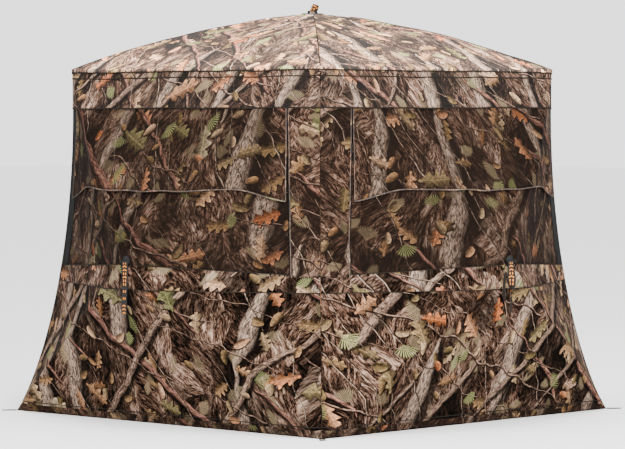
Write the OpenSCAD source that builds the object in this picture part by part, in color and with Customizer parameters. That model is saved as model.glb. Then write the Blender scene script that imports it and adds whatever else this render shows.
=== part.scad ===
// Pop-up hub ground blind: four bulging fabric walls and a domed roof, each pushed out by a
// hub with four spring poles. The floor is open. +X, +Y, -X and -Y are the outward directions
// of the right, back, left and front walls, and the origin is on the ground at the centre.

/* [Footprint and height] */
// Half the side of the square that the hem draws on the ground
base_half = 965; // [930:5:1000]
// Half the side of the square at the eave
eave_half = 780; // [750:5:810]
// Height of the eave
eave_z = 1555; // [1500:5:1600]
// Height of the roof fabric at its hub
peak_z = 1830; // [1780:5:1880]
// How far each corner edge bows in from its straight line
corner_bow = 68; // [0:2:80]
// Extra height of the roof ridges halfway to the hub
roof_bow = 38; // [0:2:60]

/* [Walls] */
// Height of the wall hubs
hub_z = 720; // [680:5:760]
// Distance of a wall's fabric from the middle of the blind, at its hub
hub_reach = 1175; // [1150:5:1200]
// Share of the way to a sharp tip at which the hub's plates hold the fabric flat
flat_tip = 0.93; // [0.91:0.01:0.93]
// Outward bow of the ridges over the poles
ridge_bow = 12; // [8:1:20]
// Thickness of the wall and roof fabric
cloth = 1.5; // [1:0.1:2]
// Height of the ground hem band
hem_h = 45; // [30:5:60]
// Height of the seam between the lower wall and the windows
belt_z = 600; // [560:5:640]
// Height of the lower edge of the valance
valance_z = 1390; // [1350:5:1420]
// Height of the lower edge of the window curtains
curtain_z = 985; // [900:5:1100]
// Width of the wide corner panels, at the front and back corners
wide_panel = 115; // [90:5:150]
// Width of the narrow corner panels, at the left and right corners
narrow_panel = 80; // [40:5:100]

/* [Hubs] */
// Radius of the moulded hub over its lugs
hub_r = 47; // [46:1:48]
// Radius of the clamp plate under the fabric
plate_r = 49; // [48:1:50]
// Radius of the cap outside the fabric
cap_r = 52; // [46:1:60]
// Distance of each pole's hinge pin from the hub's centre
pin_at = 37; // [36:1:38]
// Radius of the hinge pins
pin_r = 3; // [2.5:0.1:3.2]
// Radial clearance of a pole's eye on its pin
pin_clear = 0.05; // [0.02:0.01:0.1]

/* [Poles] */
// Diameter of the fibreglass rods
rod_d = 9.5; // [8:0.5:11]
// Bow of a wall pole
wall_rod_bow = 8; // [5:1:12]
// Bow of a roof pole
roof_rod_bow = 30; // [5:1:32]
// Upper tip of a wall pole: outward, sideways and up
upper_tip = [760, 692, 1487];
// Lower tip of a wall pole: outward, sideways and up
lower_tip = [935, 872, 30];
// Tip of a roof pole: sideways, sideways and up
roof_tip = [715, 715, 1560];

/* [Pull straps and stake tabs] */
// Width of the pull straps
strap_w = 38; // [25:1:40]
// Length of a wall strap below its bar
strap_len = 230; // [150:5:260]
// Length of the roof strap
roof_strap_len = 48; // [35:1:60]
// Length of a stake tab outside the corner
tab_len = 70; // [50:5:90]
// Width of a stake tab
tab_w = 25; // [20:1:30]
// Bore radius of a stake grommet
grommet_r = 6; // [5:0.5:7]

/* [Door] */
// Width of the whole zip around the door: the wall carries its outer half
tape_w = 24; // [16:2:30]
// How far inside the corner the door's outer edge runs
door_margin = 60; // [50:5:80]
// Lowest and highest point of the door
door_lo = 140; // [130:5:170]
door_hi = 1340; // [1280:5:1360]

/* [Hidden] */
SIDES = ["right", "back", "left", "front"];
ALL = ["roof", "right", "back", "left", "front"];
CORNERS = [1, 2, 3, 4];
$fn = 48;

CAMO = "#75634f";
CAMO_DARK = "#4c4136";
BLACK = "#1d1d1d";
ORANGE = "#c8761e";

// Places along a hub's own axis, outward from the plane of its pins
PLATE_LO = 14;
PLATE_HI = 20;
CLOTH_GAP = 0.3;
CAP_LO = PLATE_HI + cloth + 2 * CLOTH_GAP;
CAP_HI = CAP_LO + 6;
BAR_AT = CAP_HI + 8;
BAR_R = 3;
BOSS_R = 8.7;
HOLE_R = 10;
SLOT_W = 12.6;
EYE_W = 12;
EYE_R = 8;
BOOT_R = 6.5;
PIVOT_BACK = PLATE_HI + CLOTH_GAP + cloth;
ROWS = 14;
CURTAIN_OFF = 6;
// How far the zip tape's face stands off the wall, how thick it is, and the slider's gap above it
TAPE_OFF = 4;
TAPE = 1.6;
SLIDER_GAP = 2.5;
// How far the doorway reaches in from the corner at its widest, over the curtains' height
DOOR_SHARE = 412;
// Heights between which the doorway's inner edge runs upright, halfway to the corner
DOOR_IN_LO = 440;
DOOR_IN_HI = 1090;
// Room between the pole ridges and the doorway, and how fast its slanted edges grow
DOOR_ROOM = 30;
// How far the zip's wall half stays outside the door's edge, and how far its ends stop from the hinge
ZIP_GAP = 2;
HINGE_ROOM = 25;
SLANT_U = 1.3;
SLANT_Z = 1.6;
SEAM_GAP = 0.3;
ROOF_EDGE = 12;
BOW_SKEW = 0.8;

// Half-width of the blind at height z: the corner edge's own line
function half_at(z) =
    let (s = z / eave_z, q = pow(s, BOW_SKEW))
    base_half + (eave_half - base_half) * s - 4 * corner_bow * q * (1 - q);
// Share of the bulge that the top, bottom and flattened tip allow at height z
function share_at(z) = min((eave_z - z) / (eave_z - hub_z), z / hub_z, flat_tip);
// Where the pole ridge crosses height z, sideways from the middle of the wall: a straight line
// from each corner to the hub, cut off by the flattened tip
function ridge_at(z) =
    z < TIP_LO ? base_half * (1 - z / hub_z) :
    z > TIP_HI ? eave_half * (1 - (eave_z - z) / (eave_z - hub_z)) :
    (1 - flat_tip) * (base_half + (eave_half - base_half) * (z - TIP_LO) / (TIP_HI - TIP_LO));
// How far out the wall stands between its two ridges at height z
function out_at(z) =
    let (k = share_at(z) / flat_tip, end = z < hub_z ? base_half : eave_half)
    end + (hub_reach - end) * k + 4 * ridge_bow * k * (1 - k);
// How far out the wall stands at height z, u sideways from its middle
function wall_x(u, z) =
    let (h = half_at(z), r = ridge_at(z), a = abs(u))
    a <= r ? out_at(z) : h + (out_at(z) - h) * (h - a) / (h - r);
// Height of the roof fabric at r, from 0 over the hub to 1 at the eave
function roof_at(r) =
    eave_z + ROOF_EDGE + (peak_z - eave_z - ROOF_EDGE) * (1 - r) + 4 * roof_bow * r * (1 - r);

TIP_LO = hub_z * flat_tip;
TIP_HI = eave_z - flat_tip * (eave_z - hub_z);
HUB_OUT = hub_reach - PIVOT_BACK;
ROOF_HUB_R = 1 - flat_tip;
ROOF_HUB_Z = roof_at(ROOF_HUB_R) - PIVOT_BACK;

// ---- Fabric -------------------------------------------------------------------------------

// A closed sheet between an outer and an inner grid of points, each a list of equal rows
module sheet(outer, inner) {
    n = len(outer);
    m = len(outer[0]);
    half = n * m;
    function at(i, j) = i * m + j;
    face_out = [for (i = [0:n - 2]) for (j = [0:m - 2])
        [at(i, j), at(i + 1, j), at(i + 1, j + 1), at(i, j + 1)]];
    rim = concat(
        [for (j = [0:m - 2]) [at(0, j), at(0, j + 1)]],
        [for (i = [0:n - 2]) [at(i, m - 1), at(i + 1, m - 1)]],
        [for (j = [m - 1:-1:1]) [at(n - 1, j), at(n - 1, j - 1)]],
        [for (i = [n - 1:-1:1]) [at(i, 0), at(i - 1, 0)]]);
    // Each four-sided face is cut in two, because its corners need not lie in one plane
    tri_out = [for (f = face_out) each [[f[0], f[1], f[2]], [f[0], f[2], f[3]]]];
    tri_in = [for (f = tri_out) [f[2] + half, f[1] + half, f[0] + half]];
    tri_rim = [for (e = rim)
        each [[e[0], e[1], e[1] + half], [e[0], e[1] + half, e[0] + half]]];
    polyhedron(concat([for (r = outer) each r], [for (r = inner) each r]),
        concat(tri_out, tri_in, tri_rim));
}

// The points across a wall at height z, between the side limits lo and hi
function across(z, lo, hi, out, back) =
    let (ridge = min(ridge_at(z), hi - 1), left = min(ridge_at(z), -lo - 1))
    [for (u = [lo, -left, ridge, hi])
        let (k = (half_at(z) - back) / half_at(z))
        [wall_x(u, z) + out - back, u * k, z]];

// One band of the wall that faces +X, from height z0 to z1, stopping short of each corner
module band(z0, z1, short_lo = 0, short_hi = 0, out = 0, thick = cloth) {
    tips = [for (z = [TIP_LO, TIP_HI]) if (z > z0 + 1 && z < z1 - 1) z];
    steps = ceil(ROWS * (z1 - z0) / (valance_z - belt_z)) + 1;
    plain = [for (i = [0:steps])
        let (z = z0 + (z1 - z0) * i / steps)
        if (len([for (t = tips) if (abs(t - z) < 12) 1]) == 0) z];
    rows = sorted(concat(plain, tips));
    sheet([for (z = rows) across(z, short_lo - half_at(z), half_at(z) - short_hi, out, 0)],
        [for (z = rows) across(z, short_lo - half_at(z), half_at(z) - short_hi, out, thick)]);
}

function sorted(list) =
    len(list) < 2 ? list :
    let (pivot = list[0])
    concat(sorted([for (v = list) if (v < pivot) v]), [pivot],
        sorted([for (v = list) if (v > pivot) v]));

// The sides meet in wide corner panels at the front and back corners, narrow at the others
function panel_lo(side) = side % 2 == 0 ? wide_panel : narrow_panel;
function panel_hi(side) = side % 2 == 0 ? narrow_panel : wide_panel;

module on_side(side) {
    rotate([0, 0, 90 * side]) children();
}

// The hole for the boss that joins a hub to its cap
module boss_hole() {
    translate([0, 0, hub_z]) rotate([0, 90, 0]) cylinder(h = 2 * base_half, r = HOLE_R);
}

// The doorway in the back wall: its outline grows by m on every side
function door_outline(m) =
    let (outer = [for (i = [0:8])
            let (z = door_lo - m + (door_hi - door_lo + 2 * m) * i / 8)
            [half_at(z) - door_margin + m, z]],
        lo = door_lo - m,
        hi = door_hi + m,
        past = DOOR_ROOM - SLANT_U * m)
    concat(outer, [
        [ridge_at(hi) + past, hi],
        [half_at(DOOR_IN_HI) / 2 - m, DOOR_IN_HI + SLANT_Z * m],
        [half_at(DOOR_IN_LO) / 2 - m, DOOR_IN_LO - SLANT_Z * m],
        [ridge_at(lo) + past, lo]]);

module door_prism(m) {
    rotate([90, 0, 90]) linear_extrude(2 * base_half) polygon(door_outline(m));
}

module window_screen(side) {
    color(CAMO_DARK) on_side(side) difference() {
        band(belt_z, valance_z, panel_lo(side) + SEAM_GAP, panel_hi(side) + SEAM_GAP);
        boss_hole();
        if (side == 1) door_prism(1);
    }
}

module lower_wall(side) {
    color(CAMO) on_side(side) difference() {
        band(hem_h, belt_z - SEAM_GAP);
        if (side == 1) door_prism(1);
    }
}

// The back curtain stops at the doorway; the others reach both corner panels
module window_curtain(side) {
    short_hi = side == 1 ? DOOR_SHARE + 8 : panel_hi(side) + 8;
    color(CAMO_DARK) on_side(side)
        band(curtain_z, valance_z - 4, panel_lo(side) + 8, short_hi, CURTAIN_OFF);
}

// A strip of corner panel: the part of the window band that is left at one end of a wall
module corner_strip(side, end) {
    width = end < 0 ? panel_lo(side) : panel_hi(side);
    rows = [for (i = [0:ROWS]) belt_z + (valance_z - SEAM_GAP - belt_z) * i / ROWS];
    function line(z, back) =
        let (k = (half_at(z) - back) / half_at(z), h = half_at(z))
        [for (u = end < 0 ? [-h, width - h] : [h - width, h]) [wall_x(u, z) - back, u * k, z]];
    sheet([for (z = rows) line(z, 0)], [for (z = rows) line(z, cloth)]);
}

module corner_panels() {
    color(CAMO) for (side = [0:3]) {
        on_side(side) corner_strip(side, -1);
        on_side(side) difference() {
            corner_strip(side, 1);
            if (side == 1) door_prism(1);
        }
    }
}

module valance() {
    color(CAMO) for (side = [0:3]) on_side(side) band(valance_z, eave_z - 2);
}

module ground_hem() {
    color(CAMO_DARK) for (side = [0:3]) on_side(side) band(0, hem_h - SEAM_GAP, thick = 2 * cloth);
}

// The roof, in rings of four corners from the hub's plate out to the eave
module roof_canopy() {
    rings = [for (i = [0:ROWS]) ROOF_HUB_R + (1 - ROOF_HUB_R) * i / ROWS];
    function corner(r, k, back) =
        let (h = r * (eave_half + 3) - (r == 1 ? back / 2 : 0))
        [h * sign(cos(45 + 90 * k)), h * sign(sin(45 + 90 * k)), roof_at(r) - back];
    points = concat(
        [for (r = rings) for (k = [0:3]) corner(r, k, 0)],
        [for (r = rings) for (k = [0:3]) corner(r, k, cloth)]);
    n = len(rings);
    under = 4 * n;
    slopes = [for (i = [0:n - 2]) for (k = [0:3])
        let (a = 4 * i + k, b = 4 * i + (k + 1) % 4, c = a + 4, d = b + 4)
        each [[a, b, d], [a, d, c]]];
    last = 4 * (n - 1);
    rim = [for (k = [0:3])
        let (a = last + k, b = last + (k + 1) % 4)
        each [[a, b, b + under], [a, b + under, a + under]]];
    lid = [[3, 2, 1], [3, 1, 0]];
    color(CAMO) difference() {
        polyhedron(points, concat(slopes, lid, rim,
            [for (f = concat(slopes, lid)) [f[2] + under, f[1] + under, f[0] + under]]));
        cylinder(h = 2 * peak_z, r = HOLE_R);
    }
}

// ---- Door ---------------------------------------------------------------------------------

module door_panel() {
    color(CAMO) on_side(1) intersection() {
        union() {
            band(hem_h, belt_z);
            band(belt_z, valance_z);
        }
        door_prism(-1);
    }
}

// The zip's wall half: it goes round the door on every side but the hinge
module door_zip_tape() {
    color(BLACK) on_side(1) intersection() {
        union() {
            band(hem_h, belt_z, out = TAPE_OFF, thick = TAPE);
            band(belt_z, valance_z - 4, out = TAPE_OFF, thick = TAPE);
        }
        difference() {
            door_prism(tape_w / 2);
            door_prism(ZIP_GAP);
            rotate([90, 0, 90]) linear_extrude(2 * base_half) polygon([
                [0, DOOR_IN_LO - HINGE_ROOM],
                [half_at(DOOR_IN_LO) / 2 + HINGE_ROOM, DOOR_IN_LO - HINGE_ROOM],
                [half_at(DOOR_IN_HI) / 2 + HINGE_ROOM, DOOR_IN_HI + HINGE_ROOM],
                [0, DOOR_IN_HI + HINGE_ROOM]]);
        }
    }
}

// The zip's slider, at the lower end of the door's outer edge
module door_zip_slider() {
    z = door_lo + 90;
    u = half_at(z) - door_margin;
    lean_u = (wall_x(u - 5, z) - wall_x(u + 5, z)) / 10;
    lean_z = (wall_x(u, z - 5) - wall_x(u, z + 5)) / 10;
    turn = [0, -atan2(lean_z, norm([1, lean_u])), atan2(lean_u, 1)];
    color(BLACK) on_side(1) translate([wall_x(u, z) + TAPE_OFF + SLIDER_GAP, u, z]) rotate(turn) union() {
        translate([0, -5, -9]) cube([5, 10, 18]);
        translate([5, -3, -38]) cube([2.4, 6, 44]);
        translate([5, 0, -38]) rotate([0, 90, 0]) cylinder(h = 2.4, r = 6);
    }
}

// ---- Hubs and poles -----------------------------------------------------------------------

// Puts its children in the frame of one hub: Z outward, Y up on a wall
module at_hub(i) {
    if (i == 0) translate([0, 0, ROOF_HUB_Z]) children();
    else on_side(i - 1) translate([HUB_OUT, 0, hub_z]) rotate([90, 0, 90]) children();
}

// The tips of a hub's four poles, in its own frame
function tips_of(i) =
    i == 0 ?
    [for (k = [0:3]) [roof_tip[0] * sign(cos(45 + 90 * k)), roof_tip[1] * sign(sin(45 + 90 * k)),
        roof_tip[2] - ROOF_HUB_Z]] :
    [for (t = [[1, upper_tip], [-1, upper_tip], [-1, lower_tip], [1, lower_tip]])
        [t[0] * t[1][1], t[1][2] - hub_z, t[1][0] - HUB_OUT]];
function turn_of(tip) = atan2(tip[1], tip[0]);
// Distance of a pole's tip from its own pin, across the hub's plane and in all
function reach_of(tip) = norm([tip[0], tip[1]]) - pin_at;
function length_of(tip) = norm([reach_of(tip), tip[2]]);
function droop_of(tip) = asin(-tip[2] / length_of(tip));

// The hub's turned outline: lugs below, and the wider clamp plate with a rounded rim on top
module hub_blank() {
    rotate_extrude() polygon([
        [0, 8 - PLATE_LO], [15, 8 - PLATE_LO], [15, -PLATE_LO], [hub_r - 2, -PLATE_LO],
        [hub_r, 2 - PLATE_LO], [hub_r, PLATE_LO], [plate_r, PLATE_LO], [plate_r, PLATE_HI],
        [BOSS_R, PLATE_HI], [BOSS_R, CAP_LO], [0, CAP_LO]]);
}

module hub(i) {
    color(BLACK) at_hub(i) {
        difference() {
            hub_blank();
            for (tip = tips_of(i)) rotate([0, 0, turn_of(tip)])
                translate([26.5, -SLOT_W / 2, -40]) cube([60, SLOT_W, 40 + PLATE_LO - 1]);
        }
        for (tip = tips_of(i)) rotate([0, 0, turn_of(tip)]) translate([pin_at, 9, 0])
            rotate([90, 0, 0]) cylinder(h = 18, r = pin_r);
    }
}

// A rod from the origin to [length, 0, 0], bowed towards +Z
module bowed_rod(length, bow, r) {
    arc_r = pow(length, 2) / (8 * bow) + bow / 2;
    arc = 2 * asin(length / 2 / arc_r);
    translate([length / 2, 0, bow - arc_r]) rotate([90, 0, 0]) rotate([0, 0, 90 - arc / 2])
        rotate_extrude(angle = arc) translate([arc_r, 0]) circle(r = r);
}

module pole(i, k) {
    tip = tips_of(i)[k];
    length = length_of(tip);
    bow = i == 0 ? roof_rod_bow : wall_rod_bow;
    tangent = atan(4 * bow / length);
    color("#2f2f2c") at_hub(i) rotate([0, 0, turn_of(tip)]) translate([pin_at, 0, 0])
        rotate([0, droop_of(tip), 0]) difference() {
            union() {
                bowed_rod(length, bow, rod_d / 2);
                rotate([90, 0, 0]) translate([0, 0, -EYE_W / 2]) cylinder(h = EYE_W, r = EYE_R);
                rotate([0, 90 - tangent, 0]) cylinder(h = 64, r = EYE_W / 2);
                translate([length, 0, 0]) rotate([0, tangent - 90, 0]) {
                    cylinder(h = 45, r = BOOT_R);
                    translate([0, 0, -4]) cylinder(h = 4, r1 = BOOT_R - 2.5, r2 = BOOT_R);
                }
            }
            rotate([90, 0, 0]) translate([0, 0, -EYE_W]) cylinder(h = 2 * EYE_W, r = pin_r + pin_clear);
        }
}

module hub_cap(i) {
    color(BLACK) at_hub(i) {
        translate([0, 0, CAP_LO]) cylinder(h = 3, r = cap_r);
        translate([0, 0, CAP_LO + 3]) cylinder(h = CAP_HI - CAP_LO - 3, r1 = cap_r, r2 = cap_r - 6);
        for (s = [-1, 1]) translate([s * (strap_w / 2 + 5) - 3, -5, CAP_HI - 1])
            cube([6, 10, BAR_AT + 6 - CAP_HI]);
        translate([-strap_w / 2 - 5, 0, BAR_AT]) rotate([0, 90, 0])
            cylinder(h = strap_w + 10, r = BAR_R);
    }
}

// A webbing strap with an eye around the cap's bar
module pull_strap(i) {
    length = i == 0 ? roof_strap_len : strap_len;
    lean = i == 0 ? 128 : 0;
    color(i == 0 ? ORANGE : BLACK) at_hub(i) translate([0, 0, BAR_AT]) rotate([-lean, 0, 0])
        difference() {
            union() {
                translate([-strap_w / 2, 0, 0]) rotate([0, 90, 0])
                    cylinder(h = strap_w, r = BAR_R + 2.5);
                translate([-strap_w / 2, -length, -1.25]) cube([strap_w, length, 2.5]);
            }
            translate([-strap_w, 0, 0]) rotate([0, 90, 0])
                cylinder(h = 2 * strap_w, r = BAR_R + pin_clear);
        }
}

// ---- Stake tabs ---------------------------------------------------------------------------

module at_corner(k) {
    rotate([0, 0, 45 + 90 * k]) translate([base_half * sqrt(2) + 1, 0, 0]) children();
}

module stake_tabs() {
    color(BLACK) for (k = [0:3]) at_corner(k) difference() {
        union() {
            translate([0, -tab_w / 2, 0]) cube([tab_len - 15, tab_w, 2.5]);
            translate([tab_len - 15, 0, 0]) cylinder(h = 2.5, r = tab_w / 2);
        }
        translate([tab_len - 15, 0, -1]) cylinder(h = 5, r = grommet_r + 2.1);
    }
}

module stake_grommets() {
    color("#8a8a86") for (k = [0:3]) at_corner(k) translate([tab_len - 15, 0, 0]) difference() {
        union() {
            cylinder(h = 3.6, r = grommet_r + 2);
            translate([0, 0, 2.6]) cylinder(h = 1, r = grommet_r + 5);
        }
        translate([0, 0, -1]) cylinder(h = 6, r = grommet_r);
    }
}

roof_canopy();
valance();
corner_panels();
ground_hem();
stake_tabs();
stake_grommets();
for (s = [0:3]) {
    window_screen(s);
    lower_wall(s);
    window_curtain(s);
}
for (i = [0:4]) {
    hub(i);
    hub_cap(i);
    pull_strap(i);
    for (k = [0:3])
        pole(i, k);
}
door_zip_tape();
door_panel();
door_zip_slider();
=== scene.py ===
"""Looks for the pop-up hub ground blind: printed cloth, trims, webbing and moulded hubs around
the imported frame. Metres throughout, +Z up, the origin on the ground at the middle."""
import math

import bmesh
import bpy
import numpy as np
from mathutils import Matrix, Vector


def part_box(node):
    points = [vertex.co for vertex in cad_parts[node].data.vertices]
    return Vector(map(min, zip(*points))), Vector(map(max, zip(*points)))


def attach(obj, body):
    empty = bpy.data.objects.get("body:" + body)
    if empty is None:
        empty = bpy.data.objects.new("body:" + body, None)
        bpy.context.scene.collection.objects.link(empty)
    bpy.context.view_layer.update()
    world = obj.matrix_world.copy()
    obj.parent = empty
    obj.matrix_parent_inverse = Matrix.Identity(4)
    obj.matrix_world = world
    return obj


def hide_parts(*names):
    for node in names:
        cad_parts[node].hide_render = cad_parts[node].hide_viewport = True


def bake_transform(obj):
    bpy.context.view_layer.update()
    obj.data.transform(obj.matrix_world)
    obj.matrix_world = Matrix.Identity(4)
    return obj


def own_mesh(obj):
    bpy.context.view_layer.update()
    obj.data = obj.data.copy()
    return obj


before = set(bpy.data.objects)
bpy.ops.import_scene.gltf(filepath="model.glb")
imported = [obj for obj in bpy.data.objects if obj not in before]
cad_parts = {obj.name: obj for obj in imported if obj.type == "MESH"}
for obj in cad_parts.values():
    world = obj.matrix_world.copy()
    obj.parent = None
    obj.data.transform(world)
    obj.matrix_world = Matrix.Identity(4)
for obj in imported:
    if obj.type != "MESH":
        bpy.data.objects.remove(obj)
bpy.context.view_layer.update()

# ---- Camera -------------------------------------------------------------------------------

TURN, FAR = math.radians(43.3), 14.5
CAMERA_Z, AIM_Z = 1.336, 0.855
camera_data = bpy.data.cameras.new("camera")
camera_data.lens = 181.0
camera_data.sensor_width = 36.0
camera = bpy.data.objects.new("camera", camera_data)
camera.location = (FAR * math.sin(TURN), -FAR * math.cos(TURN), CAMERA_Z)
camera.rotation_mode = "QUATERNION"
camera.rotation_quaternion = (Vector((0, 0, AIM_Z)) - camera.location).to_track_quat("-Z", "Y")
bpy.context.scene.collection.objects.link(camera)
bpy.context.scene.camera = camera

# ---- The frame's own sizes ----------------------------------------------------------------

EAVE_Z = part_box("valance")[1].z + 0.002
HUB_Z = (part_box("right_hub")[0].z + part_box("right_hub")[1].z) / 2
BAR_X = (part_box("right_pull_strap")[0].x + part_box("right_pull_strap")[1].x) / 2
ROOF_BAR_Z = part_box("roof_pull_strap")[0].z + 0.0055
BASE_HALF, EAVE_HALF = 0.965, 0.780     # half the footprint and half the eave square
HUB_REACH = 1.175                       # the cloth's distance from the middle, at a wall hub
ROOF_HALF, ROOF_EDGE_Z, PEAK_Z = EAVE_HALF + 0.003, EAVE_Z + 0.012, 1.830
FLAT_TIP = 0.93                         # share of the way to a hub where its flat middle starts
CORNER_BOW, ROOF_BOW, RIDGE_BOW = 0.068, 0.038, 0.012
HEM_H, BELT_Z, BELT_H, BELT_RISE = 0.045, 0.600, 0.070, 0.037
VALANCE_Z = 1.390
WIDE_PANEL, NARROW_PANEL = 0.115, 0.080
DOOR_MARGIN, DOOR_ROOM, HINGE_ROOM = 0.060, 0.030, 0.025
DOOR_GAP, ZIP_GAP, ZIP_TAPE, ZIP_THICK = 0.004, 0.002, 0.012, 0.0012
TOOTH, TOOTH_PITCH, TOOTH_SHIFT, TEETH_OUT = (0.0026, 0.0042, 0.0016), 0.0042, 0.0008, 0.0050
DOOR_LO, DOOR_HI, DOOR_IN_LO, DOOR_IN_HI = 0.140, 1.340, 0.440, 1.090
STRAP_W, STRAP_LENGTH, STRAP_KEEP = 0.038, 0.228, 0.3
COVER_HOLE, COVER_RIM = 0.028, 0.062
CURTAIN_BASE, CURTAIN_FOOT, CURTAIN_OUT = 1.02, 1.030, 0.006
TUCK = 0.012                            # how far the walls' cloth reaches under the valance and the hem
TIP_LO = HUB_Z * FLAT_TIP
TIP_HI = EAVE_Z - FLAT_TIP * (EAVE_Z - HUB_Z)
SIDES = ["right", "back", "left", "front"]
CLOTH, TAPE_THICK = 0.0014, 0.0016
SEAM, CORD = 0.0018, 0.0030             # radii
GRID = 0.016                            # size of the cloth's mesh squares
LOW_FACETS, HIGH_FACETS = ("low", "hi", "lo"), ("high", "hi", "lo")


def half_at(z):
    """Half the width of a wall at height z, between its bowed corners."""
    s = np.clip(z / EAVE_Z, 0, 1)
    q = s ** 0.8
    return BASE_HALF + (EAVE_HALF - BASE_HALF) * s - 4 * CORNER_BOW * q * (1 - q)


def share_at(z):
    """How far up or down the way to the hub height z is, from 0 to the flat middle."""
    return np.minimum(np.minimum((EAVE_Z - z) / (EAVE_Z - HUB_Z), z / HUB_Z), FLAT_TIP)


def ridge_at(z):
    """Where the pole ridges cross height z: straight lines from the corners to the hub."""
    low = BASE_HALF * (1 - z / HUB_Z)
    high = EAVE_HALF * (1 - (EAVE_Z - z) / (EAVE_Z - HUB_Z))
    tip = (1 - FLAT_TIP) * (BASE_HALF + (EAVE_HALF - BASE_HALF) * (z - TIP_LO) / (TIP_HI - TIP_LO))
    return np.where(z < TIP_LO, low, np.where(z > TIP_HI, high, tip))


def out_at(z):
    """How far out the cloth stands at height z, between the pole ridges."""
    k = share_at(z) / FLAT_TIP
    end = np.where(z < HUB_Z, BASE_HALF, EAVE_HALF)
    return end + (HUB_REACH - end) * k + 4 * RIDGE_BOW * k * (1 - k)


def wall_x(u, z):
    """How far out the taut cloth stands, u sideways from its wall's middle."""
    h, r, a = half_at(z), ridge_at(z), np.abs(u)
    slope = (out_at(z) - h) * (h - a) / np.maximum(h - r, 1e-6)
    return np.where(a <= r, out_at(z), h + slope)


def roof_at(r):
    """Height of the roof, r from 0 at its peak to 1 at the eave."""
    return ROOF_EDGE_Z + (PEAK_Z - ROOF_EDGE_Z) * (1 - r) + 4 * ROOF_BOW * r * (1 - r)


def side_share(u, z):
    """How far along, from 0 at the corner's straight line to 1 at the hub, a side facet's point is."""
    chord = BASE_HALF + (EAVE_HALF - BASE_HALF) * z / EAVE_Z
    at_hub = BASE_HALF + (EAVE_HALF - BASE_HALF) * HUB_Z / EAVE_Z
    return (chord - np.abs(u)) / at_hub


# ---- Smooth, repeatable unevenness --------------------------------------------------------

WAVES = np.random.default_rng(7)
RIPPLES = [(WAVES.normal(size=2), WAVES.uniform(0, 6.28), WAVES.uniform(0.5, 1)) for _ in range(28)]


def ripple(u, z, size, first=0, count=9):
    """Smooth noise between about -1 and 1, with features of the given size."""
    total = 0
    for (kx, kz), phase, gain in RIPPLES[first:first + count]:
        total = total + gain * np.sin((kx * u + kz * z) * 2.2 / size + phase)
    return total / math.sqrt(count)


def smooth(x, lo, hi):
    t = np.clip((x - lo) / (hi - lo), 0, 1)
    return t * t * (3 - 2 * t)


def slack(u, z, side):
    """How far the cloth of a wall stands proud of its taut surface."""
    share = np.minimum(np.minimum(share_at(z), side_share(u, z)), FLAT_TIP)
    rim = smooth(share, 0.02, 0.30) * (1 - smooth(share, 0.80, 0.93))
    fine = 0.0032 * ripple(u + 3 * side, z, 0.16) + 0.0016 * ripple(u, z + 2 * side, 0.06, 9)
    fall = np.hypot(u, z - HUB_Z) + 1e-6
    around = np.arctan2(z - HUB_Z, u)
    fold = 0.0035 * np.sin(13 * around + 3 * ripple(u, z, 0.6, 18)) * np.exp(-((fall - 0.22) / 0.17) ** 2)
    pull = 0.0025 * np.sin(70 * (np.abs(u) - 0.3 * z) + side) * np.exp(-(share / 0.22) ** 2)
    return (fine + fold + pull) * rim


# ---- Meshes -------------------------------------------------------------------------------

def new_object(name, verts, faces, uvs, materials):
    mesh = bpy.data.meshes.new(name)
    mesh.from_pydata([tuple(map(float, v)) for v in verts], [], faces)
    if uvs is not None:
        layer = mesh.uv_layers.new(name="Print")
        flat = np.array([uvs[mesh.loops[i].vertex_index] for i in range(len(mesh.loops))])
        layer.data.foreach_set("uv", flat.astype(np.float32).ravel())
    obj = bpy.data.objects.new(name, mesh)
    bpy.context.scene.collection.objects.link(obj)
    tidy = bmesh.new()
    tidy.from_mesh(mesh)
    bmesh.ops.remove_doubles(tidy, verts=tidy.verts, dist=0.0004)
    bmesh.ops.dissolve_degenerate(tidy, edges=tidy.edges, dist=0.0002)
    loose = [v for v in tidy.verts if not v.link_faces]
    bmesh.ops.delete(tidy, geom=loose, context="VERTS")
    tidy.to_mesh(mesh)
    tidy.free()
    mesh.shade_smooth()
    for material in materials:
        mesh.materials.append(material)
    return obj


def grid_object(name, points, uvs, materials, hole=None):
    """points and uvs are arrays of rows by columns; hole is true for the squares to leave out."""
    n, m = points.shape[:2]
    faces = [(i * m + j, i * m + j + 1, (i + 1) * m + j + 1, (i + 1) * m + j)
             for i in range(n - 1) for j in range(m - 1) if hole is None or not hole[i, j]]
    return new_object(name, points.reshape(-1, 3), faces, uvs.reshape(-1, 2), materials)


def thicken(obj, thickness=CLOTH, offset=-1.0):
    """Gives a cloth its thickness; its back takes the object's second material."""
    mod = obj.modifiers.new("thickness", "SOLIDIFY")
    mod.thickness = thickness
    mod.offset = offset
    mod.material_offset = 1 if len(obj.data.materials) > 1 else 0
    mod.use_even_offset = False
    graph = bpy.context.evaluated_depsgraph_get()
    done = bpy.data.meshes.new_from_object(obj.evaluated_get(graph))
    obj.modifiers.clear()
    obj.data = done
    return obj


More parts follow.
